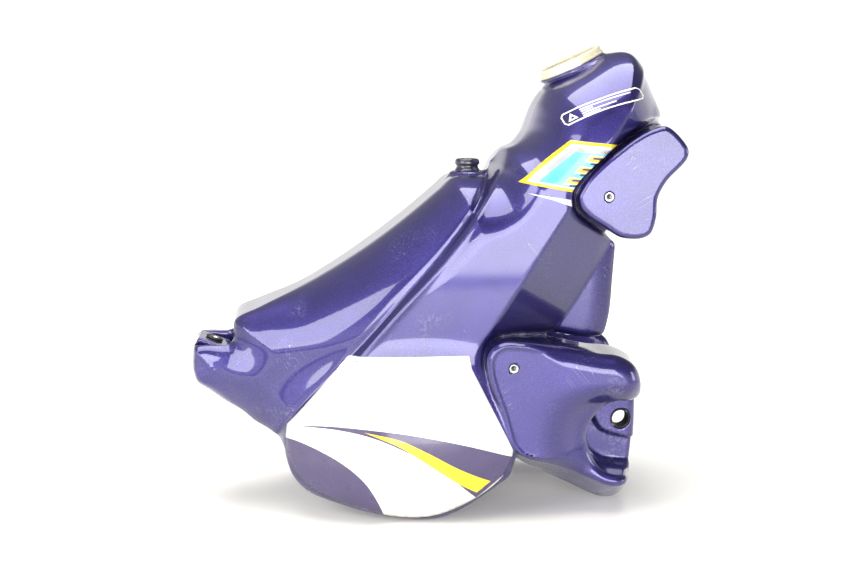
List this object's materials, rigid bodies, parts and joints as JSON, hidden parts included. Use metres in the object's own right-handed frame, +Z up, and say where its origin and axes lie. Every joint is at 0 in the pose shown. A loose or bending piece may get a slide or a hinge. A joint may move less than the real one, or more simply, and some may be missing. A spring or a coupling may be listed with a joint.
{
  "type": "motorcycle fuel tank",
  "caption": "Saddle-shaped moulded off-road fuel tank with side wings, threaded filler neck, front mounting lugs, seat hook, rear mount and a lever fuel tap.",
  "frame": {"origin": "on the surface that the tank stands on, below the middle of its length and width", "axes": "+X towards the front of the motorcycle, +Z up, the right side of the motorcycle faces -Y"},
  "size_m": [0.4756, 0.281, 0.4478],
  "materials": {
    "painted_shell": "glossy metallic violet-blue lacquer, scuffed",
    "brass": "machined, dulled",
    "rubber": "moulded black",
    "dark_plastic": "moulded, worn sheen",
    "steel": "zinc plated",
    "cast_zinc": "die cast, bead blasted",
    "strainer_mesh": "woven nylon",
    "decal_film": "printed vinyl film",
    "badge_film": "printed vinyl film"
  },
  "bodies": {
    "tank": {"tank_shell": "painted_shell", "insert_upper_right": "steel", "insert_upper_left": "steel", "insert_lower_right": "steel", "insert_lower_left": "steel", "front_bush_right": "rubber", "front_bush_left": "rubber", "wing_decal_right": "decal_film", "wing_decal_left": "decal_film", "badge_right": "badge_film", "badge_left": "badge_film", "warning_label": "decal_film", "seat_hook_insert": "brass", "seat_hook_collar": "dark_plastic", "seat_hook_bolt": "steel", "rear_grommet": "rubber", "rear_sleeve": "steel", "tap_insert_rear": "brass", "tap_insert_front": "brass", "tap_screw_rear": "steel", "tap_screw_front": "steel", "tap_gasket": "rubber", "tap_body": "cast_zinc", "tap_standpipe": "brass", "tap_strainer": "strainer_mesh", "tap_valve_seal": "rubber", "tap_wave_washer": "steel", "tap_cover_plate": "steel", "tap_cover_screw_1": "steel", "tap_cover_screw_2": "steel"},
    "lever": {"tap_lever": "cast_zinc"}
  },
  "joints": [
    {"name": "tap_lever_turn", "type": "hinge", "parent": "tank", "child": "lever", "pos_m": [0.0715, 0.112, 0.01828], "axis": [0, -1, 0], "range_deg": [0, 180]}
  ]
}
